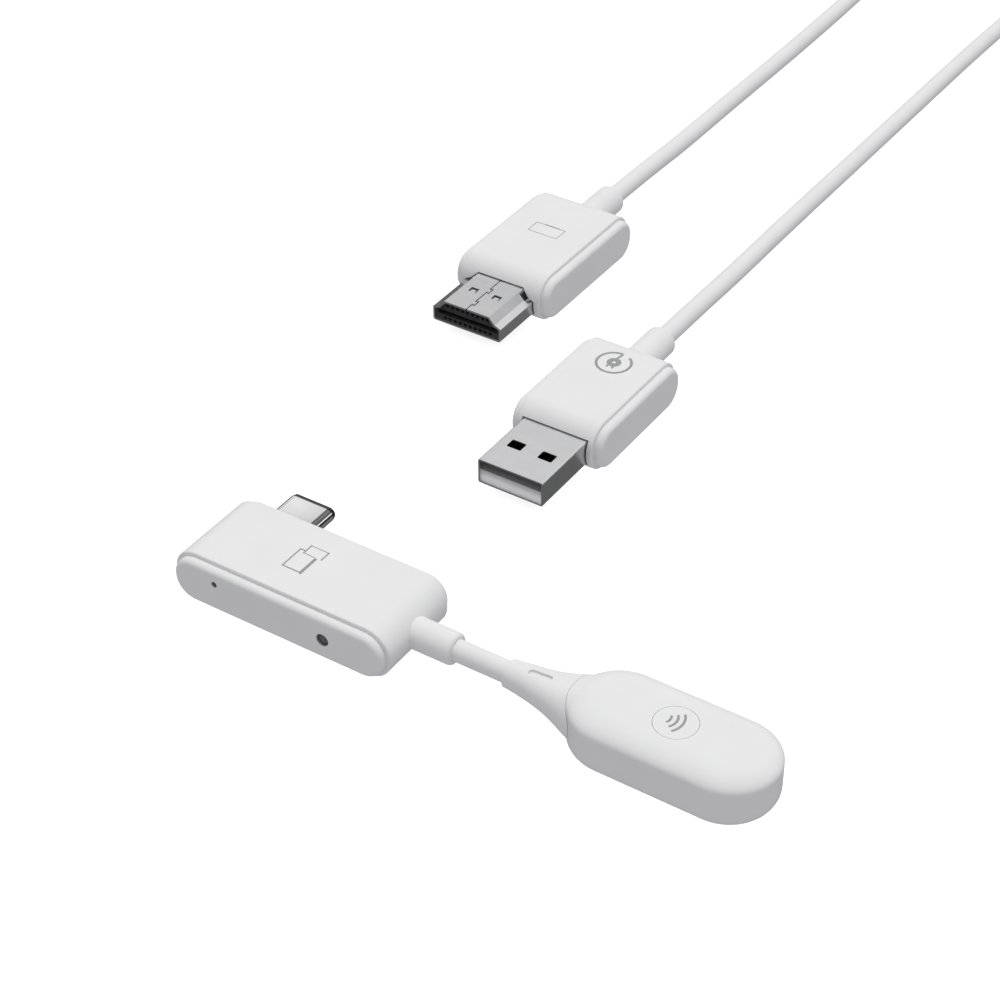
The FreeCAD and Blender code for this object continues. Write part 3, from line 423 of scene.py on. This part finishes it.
def gold():
    m = Maker("gold_flash").set(Metallic=1.0)
    m.colour(m.noise(0.5, 3.0), (0.78, 0.56, 0.22), (0.87, 0.66, 0.3))
    return m.roughness(m.noise(0.2, 3.0), 0.22, 0.34).bump((m.noise(0.12, 3.0), 0.001)).material


def dark_plastic():
    m = Maker("black_lcp").set(IOR=1.55)
    m.colour(m.noise(0.8, 3.0), (0.018, 0.018, 0.02), (0.035, 0.035, 0.038))
    m.roughness(m.noise(0.3, 3.0), 0.42, 0.6)
    return m.bump((m.noise(0.08, 3.0), 0.002)).material


def chrome():
    """Polished shell with painted reflections: dark lines and a bright streak across its rounds
    and a dark line along its side, and painted shade at its lip and near its root.
    """
    m = Maker("plug_chrome").set(Metallic=1.0)
    low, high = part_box("usb_c_shell")
    x, y, z = m.from_point(((low.x + high.x) / 2, high.y, low.z))
    # Painted reflections: dark lines and a bright streak across the shell's rounds.
    rounds_painted_reflection = m.stops(
        x, (-4.2, 0.1), (-3.5, 0.1), (-3.4, 1.0), (-1.5, 1.0), (2.9, 0.84), (3.1, 0.1),
        (3.45, 0.24), (3.75, 0.1), (3.86, 0.9), (4.2, 1.0),
    )
    # Painted reflection: a dark line along the shell's side.
    side = m.stops(z, (0.0, 1.0), (1.5, 1.0), (1.62, 0.15), (1.83, 0.15), (1.88, 1.0), (2.4, 1.0))
    # Painted shade: darker near the shell's root and dark at its lip.
    lip_and_root_painted_shade = m.stops(
        y, (-7.0, 0.68), (-4.2, 0.93), (-2.5, 1.0), (-0.85, 1.0), (-0.75, 0.09), (0.0, 0.12)
    )
    marks = m.ramp(m.noise(2.5, 4.0), (0.94, 0.94, 0.945), (0.98, 0.98, 0.98))
    m.times(rounds_painted_reflection, side, lip_and_root_painted_shade, marks)
    rolled = m.noise(0.12, 4.0, 0.6, m.stretched(1.0, 0.06, 1.0))
    m.roughness(rolled, 0.08, 0.13)
    return m.bump((rolled, 0.0003), (m.noise(0.9, 5.0), 0.0004)).material


def tongue_plastic():
    """Pale plastic with drawn marks across it, with painted shade darkening it towards its top
    under the shell, so lighter towards its foot.
    """
    m = Maker("pale_pbt").set(IOR=1.55)
    low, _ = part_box("usb_tongue")
    _, _, z = m.from_point(low)
    drawn = m.noise(0.3, 3.0, 0.6, m.stretched(0.06, 1.0, 1.0))
    # Painted shade: the tongue's front is darker towards its top, under the shell.
    m.times(
        m.stops(z, (0.0, 1.0), (0.8, 1.0), (1.6, 0.66), (2.1, 0.5)),
        m.ramp(drawn, (0.92, 0.92, 0.925), (1.0, 1.0, 1.0)),
    )
    m.roughness(m.noise(0.4, 3.0), 0.4, 0.55)
    return m.bump((m.noise(0.1, 3.0), 0.002)).material


def tongue_top_painted_shade():
    """Painted shade: grey at the plug's mouth and black further in, under the contacts, where the
    shell shades the tongue's top.
    """
    m = Maker("tongue_top").set(IOR=1.55)
    low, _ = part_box("usb_tongue")
    _, y, _ = m.from_point(low)
    # Painted shade: grey near the mouth, black deeper in.
    m.times(
        m.stops(y, (0.0, 0.42), (2.0, 0.36), (3.8, 0.03), (18.0, 0.02)),
        m.ramp(m.noise(0.8, 3.0), (0.88, 0.88, 0.885), (1.0, 1.0, 1.0)),
    )
    m.roughness(m.noise(0.3, 3.0), 0.42, 0.6)
    return m.bump((m.noise(0.08, 3.0), 0.002)).material


def hole_wall_painted_shade():
    """Painted shade: a darker grey on the inside of the small holes in a cap."""
    m = Maker("hole_wall_painted_shade").set(IOR=1.5)
    m.colour(m.noise(0.5, 3.0), (0.28, 0.28, 0.282), (0.38, 0.38, 0.382))
    m.roughness(m.noise(0.3, 3.0), 0.5, 0.66)
    return m.bump((m.noise(0.08, 3.0), 0.002)).material


def contact_painted_shade():
    """Contacts coloured near black: painted shade, as they lie in the shade of the shell."""
    m = Maker("contact_painted_shade").set(Metallic=1.0)
    m.colour(m.noise(0.5, 3.0), (0.03, 0.028, 0.025), (0.06, 0.055, 0.05))
    return m.roughness(m.noise(0.2, 3.0), 0.4, 0.55).bump((m.noise(0.12, 3.0), 0.001)).material


def ink():
    """Pad-printed grey ink, very slightly uneven."""
    m = Maker("grey_ink").set(IOR=1.45)
    m.colour(m.noise(0.25, 4.0), (0.26, 0.26, 0.262), (0.36, 0.36, 0.362))
    m.roughness(m.noise(0.2, 3.0), 0.45, 0.6)
    return m.bump((m.noise(0.06, 3.0), 0.001)).material


def solder_mask():
    m = Maker("solder_mask").set(IOR=1.5)
    m.colour(m.noise(0.6, 5.0), (0.01, 0.1, 0.04), (0.02, 0.19, 0.08), start=0.4, end=0.6)
    m.roughness(m.noise(0.5, 3.0), 0.2, 0.36)
    return m.bump((m.noise(0.35, 4.0), 0.01)).material


def tin():
    m = Maker("tinned_sheet").set(Metallic=1.0)
    m.colour(m.noise(1.8, 5.0), (0.52, 0.52, 0.5), (0.7, 0.7, 0.68))
    return m.roughness(m.noise(0.5, 4.0), 0.28, 0.48).bump((m.noise(0.4, 4.0), 0.002)).material


def copper():
    m = Maker("drawn_copper").set(Metallic=1.0)
    m.colour(m.noise(0.6, 3.0), (0.6, 0.28, 0.15), (0.78, 0.42, 0.26))
    return m.roughness(m.noise(0.2, 3.0), 0.24, 0.4).bump((m.noise(0.1, 3.0), 0.001)).material


def smoked_lens():
    """A dark light pipe with painted shade: darkest at its rim, where its recess shades it, and a
    little lighter in its middle.
    """
    m = Maker("smoked_lens").set(IOR=1.49)
    low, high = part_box("lamp_lens")
    x, _, z = m.from_point((low + high) / 2)
    away = m.calc("SQRT", m.calc("ADD", m.calc("MULTIPLY", x, x), m.calc("MULTIPLY", z, z)))
    # Painted shade: darker from the lens's middle out to its rim.
    m.times(
        m.stops(away, (0.0, 0.16), (0.5, 0.13), (0.85, 0.08), (1.1, 0.06)),
        m.ramp(m.noise(0.5, 2.0), (0.85, 0.85, 0.86), (1.0, 1.0, 1.0)),
    )
    m.roughness(m.noise(0.3, 2.0), 0.12, 0.2)
    return m.bump((m.noise(0.2, 2.0), 0.001)).material


def lamp_resin():
    m = Maker("lamp_resin").set(IOR=1.5)
    m.colour(m.noise(0.3, 2.0), (0.8, 0.78, 0.6), (0.9, 0.88, 0.74))
    return m.roughness(m.noise(0.2, 2.0), 0.1, 0.2).bump((m.noise(0.2, 2.0), 0.001)).material


def woven_tie():
    """Hook-and-loop strip: a fine crossed weave."""
    m = Maker("woven_tie").set(IOR=1.5, Sheen_Weight=0.3, Sheen_Roughness=0.5)
    wave = m.tree.nodes.new("ShaderNodeTexWave")
    wave.inputs["Scale"].default_value = 900.0
    wave.inputs["Distortion"].default_value = 1.5
    m.link(m.coordinates, wave.inputs["Vector"])
    m.colour(wave.outputs["Fac"], (0.012, 0.012, 0.013), (0.03, 0.03, 0.032))
    m.roughness(m.noise(0.3, 3.0), 0.75, 0.92)
    return m.bump((wave.outputs["Fac"], 0.05), (m.noise(0.1, 4.0), 0.02)).material


MATERIALS = {
    "white_plastic": white_plastic(),
    "lead_jacket": lead_rubber(),
    "plug_steel": nickel("plug_nickel", (0.71, 0.71, 0.715), (0.75, 0.75, 0.753), 0.2),
    "contact_gold": gold(),
    "black_plastic": dark_plastic(),
    "tongue_plastic": tongue_plastic(),
    "circuit_board": solder_mask(),
    "tinned_can": tin(),
    "core_copper": copper(),
    "lamp": lamp_resin(),
    "lens": smoked_lens(),
    "tie": woven_tie(),
}
INK = ink()


def paint(piece, material):
    piece.data.materials.clear()
    piece.data.materials.append(material)


for part in frame["record"]["subparts"]:
    paint(nodes[part["node"]], MATERIALS[part["material_slot"]])
# The USB-C shell gets painted reflections and painted shade.
paint(nodes["usb_c_shell"], chrome())
# Painted shade: the USB-A contacts are coloured near black.
paint(nodes["usb_contacts"], contact_painted_shade())


def paint_faces(node, material, chosen):
    mesh = nodes[node].data
    mesh.materials.append(material)
    for face in mesh.polygons:
        if chosen(face):
            face.material_index = 1


# The middles of the front cap's pinhole and lamp hole, and how far out their walls lie; those
# walls get painted shade.
HOLES = ((place(-16.15, 0.0, 5.8), 0.6 * MM), (place(3.5, 0.0, LEAD_HEIGHT), 1.2 * MM))


def is_hole_wall(face):
    if abs(face.normal.y) > 0.1:
        return False
    return any(
        math.hypot(face.center.x - middle.x, face.center.z - middle.z) < reach
        for middle, reach in HOLES
    )


# Painted shade: the tongue's top faces get the grey-to-black shade material.
paint_faces("usb_tongue", tongue_top_painted_shade(), lambda face: face.normal.z > 0.9)
# Painted shade on the walls of the front cap's pinhole and lamp hole.
paint_faces("dongle_front_cap", hole_wall_painted_shade(), is_hole_wall)
paint(strap, MATERIALS["tie"])
for lead in (hdmi_cord, power_cord):
    paint(lead, MATERIALS["lead_jacket"])


def smooth_by_angle(piece, degrees):
    """Smooth shading with the edges sharper than the angle kept crisp."""
    mesh = piece.data
    mesh.shade_smooth()
    mesh.set_sharp_from_angle(angle=math.radians(degrees))


CAD_SHARP_ANGLE = 28
TUBE_SHARP_ANGLE = 40

for node in nodes.values():
    smooth_by_angle(node, CAD_SHARP_ANGLE)


# ---------------------------------------------------------------- the pod's short lead


def tube_along_x(name, start, end, radius, stages, sides):
    """A closed tube of many rings."""
    mesh = bpy.data.meshes.new(name)
    form = bmesh.new()
    rings = []
    for stage in range(stages + 1):
        x = start.x + (end.x - start.x) * stage / stages
        ring = []
        for side in range(sides):
            angle = 2 * math.pi * side / sides
            spot = (x, start.y + radius * math.cos(angle), start.z + radius * math.sin(angle))
            ring.append(form.verts.new(spot))
        rings.append(ring)
    join_rings(form, rings)
    form.faces.new(rings[0][::-1])
    form.faces.new(rings[-1])
    bmesh.ops.recalc_face_normals(form, faces=form.faces)
    form.to_mesh(mesh)
    form.free()
    piece = bpy.data.objects.new(name, mesh)
    bpy.context.scene.collection.objects.link(piece)
    smooth_by_angle(piece, TUBE_SHARP_ANGLE)
    return piece


POD_LEAD_STAGES = 24
POD_LEAD_SIDES = 48


def make_pod_lead():
    low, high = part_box("pod_lead_jacket")
    centre = (low + high) / 2
    start = Vector((low.x, centre.y, centre.z))
    end = Vector((high.x, centre.y, centre.z))
    radius = (high.y - low.y) / 2
    jacket = tube_along_x("pod_lead", start, end, radius, POD_LEAD_STAGES, POD_LEAD_SIDES)
    paint(jacket, MATERIALS["lead_jacket"])
    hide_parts("pod_lead_jacket", "pod_lead_cores")
    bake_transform(jacket)


make_pod_lead()


# ---------------------------------------------------------------- printed marks

INK_HEIGHT = 0.016 * MM
STROKE_STEP = 0.0006 * MM  # each stroke lies this much over the one before
LINE = 0.24
FINE_LINE = 0.14
RING_LINE = 0.46
ARC_STEP = 4.0             # degrees between the points of a curved stroke


class Print:
    """One printed mark: flat strokes and patches of ink lying on a top face."""

    def __init__(self, name, centre, body):
        self.name, self.centre, self.body = name, centre, body
        self.form = bmesh.new()
        self.height = INK_HEIGHT

    def spot(self, x, y, lift):
        return self.centre + Vector((x * MM, y * MM, lift))

    def patch(self, outline):
        """A flat patch of ink, by its outline."""
        upper = [self.form.verts.new(self.spot(x, y, self.height)) for x, y in outline]
        lower = [self.form.verts.new(self.spot(x, y, 0)) for x, y in outline]
        self.form.faces.new(upper)
        self.form.faces.new(lower[::-1])
        for number in range(len(outline)):
            after = (number + 1) % len(outline)
            self.form.faces.new((lower[number], lower[after], upper[after], upper[number]))

    def line(self, start, end, width=LINE):
        self.height += STROKE_STEP
        start, end = Vector(start), Vector(end)
        along = (end - start).normalized()
        across = Vector((-along.y, along.x)) * width / 2
        reach = along * width / 2
        corners = (
            start - reach - across, end + reach - across, end + reach + across,
            start - reach + across,
        )
        self.patch([(c.x, c.y) for c in corners])

    def arc(self, middle, radius, first, last, width):
        """A curved stroke between two angles in degrees; a whole turn closes on itself."""
        self.height += STROKE_STEP
        outer, inner = radius + width / 2, radius - width / 2
        section = ((outer, self.height), (inner, self.height), (inner, 0), (outer, 0))
        steps = int((last - first) / ARC_STEP)
        rings = []
        for step in range(steps + 1):
            angle = math.radians(first + (last - first) * step / steps)
            across, up = math.cos(angle), math.sin(angle)
            rings.append([
                self.form.verts.new(
                    self.spot(middle[0] + reach * across, middle[1] + reach * up, lift)
                )
                for reach, lift in section
            ])
        join_rings(self.form, rings)
        if last - first < 360:
            self.form.faces.new(rings[0])
            self.form.faces.new(rings[-1][::-1])

    def finish(self):
        bmesh.ops.remove_doubles(self.form, verts=self.form.verts, dist=1e-7)
        bmesh.ops.recalc_face_normals(self.form, faces=self.form.faces)
        mesh = bpy.data.meshes.new(self.name)
        self.form.to_mesh(mesh)
        self.form.free()
        piece = bpy.data.objects.new(self.name, mesh)
        bpy.context.scene.collection.objects.link(piece)
        paint(piece, INK)
        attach(piece, self.body)
        return piece


def top_centre(node, dx=0.0, dy=0.0):
    spot = centre_of(node)
    return Vector((spot.x + dx * MM, spot.y + dy * MM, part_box(node)[1].z))


def print_computer_and_phone():
    mark = Print("mark_computer", top_centre("dongle_band"), "transmitter")
    mark.line((-3.03, -2.4), (-3.03, 2.0))
    mark.line((-3.03, 2.0), (-2.3, 2.0))
    mark.line((-3.03, -2.45), (0.0, -2.45))
    mark.patch(((0.5, 1.35), (0.0, 1.35), (-0.02, -2.3), (0.22, -2.75), (0.5, -2.75)))
    mark.line((-2.1, 1.5), (-2.1, 3.4))
    mark.line((1.1, 1.55), (1.1, 3.4))
    mark.line((-2.1, 3.4), (1.1, 3.4), FINE_LINE)
    mark.line((-2.1, 1.5), (-0.05, 1.42), FINE_LINE)
    mark.finish()


def print_monitor():
    mark = Print("mark_monitor", top_centre("hdmi_band"), "receiver")
    mark.line((-3.2, -0.55), (-3.25, 2.45), FINE_LINE)
    mark.line((2.65, -0.6), (2.7, 2.45), FINE_LINE)
    mark.line((-3.2, -0.55), (2.65, -0.6), FINE_LINE)
    mark.line((-3.25, 2.45), (2.7, 2.45), FINE_LINE)
    mark.line((-1.5, 2.5), (1.3, 2.5), 0.3)
    mark.finish()


def print_power_ring():
    mark = Print("mark_power", top_centre("usb_band", -0.17, 5.6), "receiver")
    mark.arc((0, 0), 2.9, 88, 418, RING_LINE)
    mark.line((0.07, 2.5), (-0.1, 1.5), 0.42)
    mark.arc((-0.02, 0.1), 0.77, -90, 270, 0.9)
    mark.line((-0.5, -1.2), (-0.5, -1.42), 0.36)
    mark.line((0.5, -1.2), (0.5, -1.42), 0.36)
    mark.finish()


def print_wireless_arcs():
    mark = Print("mark_wireless", top_centre("pod_button"), "pod_button")
    for radius in (1.2, 2.15, 3.1):
        mark.arc((-2.13, 0.1), radius, -38, 38, 0.36)
    mark.finish()


print_computer_and_phone()
print_monitor()
print_power_ring()
print_wireless_arcs()


# ---------------------------------------------------------------- stage and light

AMBIENT = 0.555
KEY_STRENGTH = 1.56
FLOOR_KEY_STRENGTH = 2.6
KEY_ELEVATION = 74.0
KEY_ANGLE = 30.0
KEY_COLOUR = (1.0, 1.0, 0.965)
FLOOR_KEY_COLOUR = (1.0, 1.0, 1.0)
BACKDROP = (0.93, 0.93, 0.935, 1.0)
FLOOR_REACH = 6.0


def make_floor():
    mesh = bpy.data.meshes.new("floor")
    form = bmesh.new()
    bmesh.ops.create_grid(form, x_segments=1, y_segments=1, size=FLOOR_REACH)
    form.to_mesh(mesh)
    form.free()
    floor = bpy.data.objects.new("floor", mesh)
    bpy.context.scene.collection.objects.link(floor)
    m = Maker("pale_floor").set(Roughness=0.9, Specular_IOR_Level=0.2)
    m.colour(m.noise(400.0, 2.0), (0.93, 0.93, 0.932), (0.95, 0.95, 0.952))
    paint(floor, m.material)
    floor.visible_glossy = False
    floor.visible_diffuse = False
    return floor


def make_world():
    """An even surround, with a softer, directional one for reflections."""
    world = bpy.data.worlds.new("studio")
    bpy.context.scene.world = world
    world.use_nodes = True
    tree = world.node_tree
    tree.nodes.clear()
    coordinates = tree.nodes.new("ShaderNodeTexCoord")
    split = tree.nodes.new("ShaderNodeSeparateXYZ")
    tree.links.new(coordinates.outputs["Generated"], split.inputs[0])
    height = tree.nodes.new("ShaderNodeMapRange")
    height.inputs["From Min"].default_value = -1.0
    tree.links.new(split.outputs["Z"], height.inputs["Value"])
    ramp = tree.nodes.new("ShaderNodeValToRGB")
    stops = (
        (-1.0, 0.12), (-0.6, 0.12), (-0.54, 0.19), (-0.2, 0.13), (0.16, 0.05), (0.22, 1.3),
        (0.3, 1.3), (0.36, 0.57), (0.43, 0.57), (0.465, 0.24), (0.49, 0.4), (0.53, 0.79),
        (0.61, 0.81), (0.72, 0.9), (1.0, 0.9),
    )
    elements = ramp.color_ramp.elements
    for number, (spot, grey) in enumerate(stops):
        where = (spot + 1) / 2
        element = elements[number] if number < 2 else elements.new(where)
        element.position = where
        element.color = (grey, grey, grey * 1.01, 1.0)
    tree.links.new(height.outputs["Result"], ramp.inputs["Fac"])
    rays = tree.nodes.new("ShaderNodeLightPath")
    shown = tree.nodes.new("ShaderNodeMix")
    shown.data_type = "RGBA"
    shown.inputs["A"].default_value = (AMBIENT, AMBIENT, AMBIENT * 1.035, 1.0)
    tree.links.new(rays.outputs["Is Glossy Ray"], shown.inputs["Factor"])
    tree.links.new(ramp.outputs["Color"], shown.inputs["B"])
    seen = tree.nodes.new("ShaderNodeMix")
    seen.data_type = "RGBA"
    seen.inputs["B"].default_value = BACKDROP
    tree.links.new(rays.outputs["Is Camera Ray"], seen.inputs["Factor"])
    tree.links.new(shown.outputs["Result"], seen.inputs["A"])
    background = tree.nodes.new("ShaderNodeBackground")
    tree.links.new(seen.outputs["Result"], background.inputs["Color"])
    output = tree.nodes.new("ShaderNodeOutputWorld")
    tree.links.new(background.outputs[0], output.inputs["Surface"])


def make_sun(name, strength, colour, receivers, casts):
    light = bpy.data.lights.new(name, "SUN")
    light.energy = strength
    light.angle = math.radians(KEY_ANGLE)
    light.color = colour
    light.use_shadow = casts
    sun = bpy.data.objects.new(name, light)
    bpy.context.scene.collection.objects.link(sun)
    sun.rotation_euler = (math.radians(KEY_ELEVATION - 90), 0.0, 0.0)
    sun.visible_glossy = False
    sun.light_linking.receiver_collection = receivers
    return sun


def make_lights(floor):
    """One soft key from above; the floor gets its own, so that it stays pale."""
    product = bpy.data.collections.new("lit_product")
    stage = bpy.data.collections.new("lit_stage")
    stage.objects.link(floor)
    for piece in bpy.context.scene.objects:
        if piece.type in ("MESH", "CURVE") and piece != floor:
            product.objects.link(piece)
    make_sun("key", KEY_STRENGTH, KEY_COLOUR, product, True)
    make_sun("floor_key", FLOOR_KEY_STRENGTH, FLOOR_KEY_COLOUR, stage, False)


make_world()
make_lights(make_floor())
bpy.context.scene.view_settings.view_transform = "Standard"
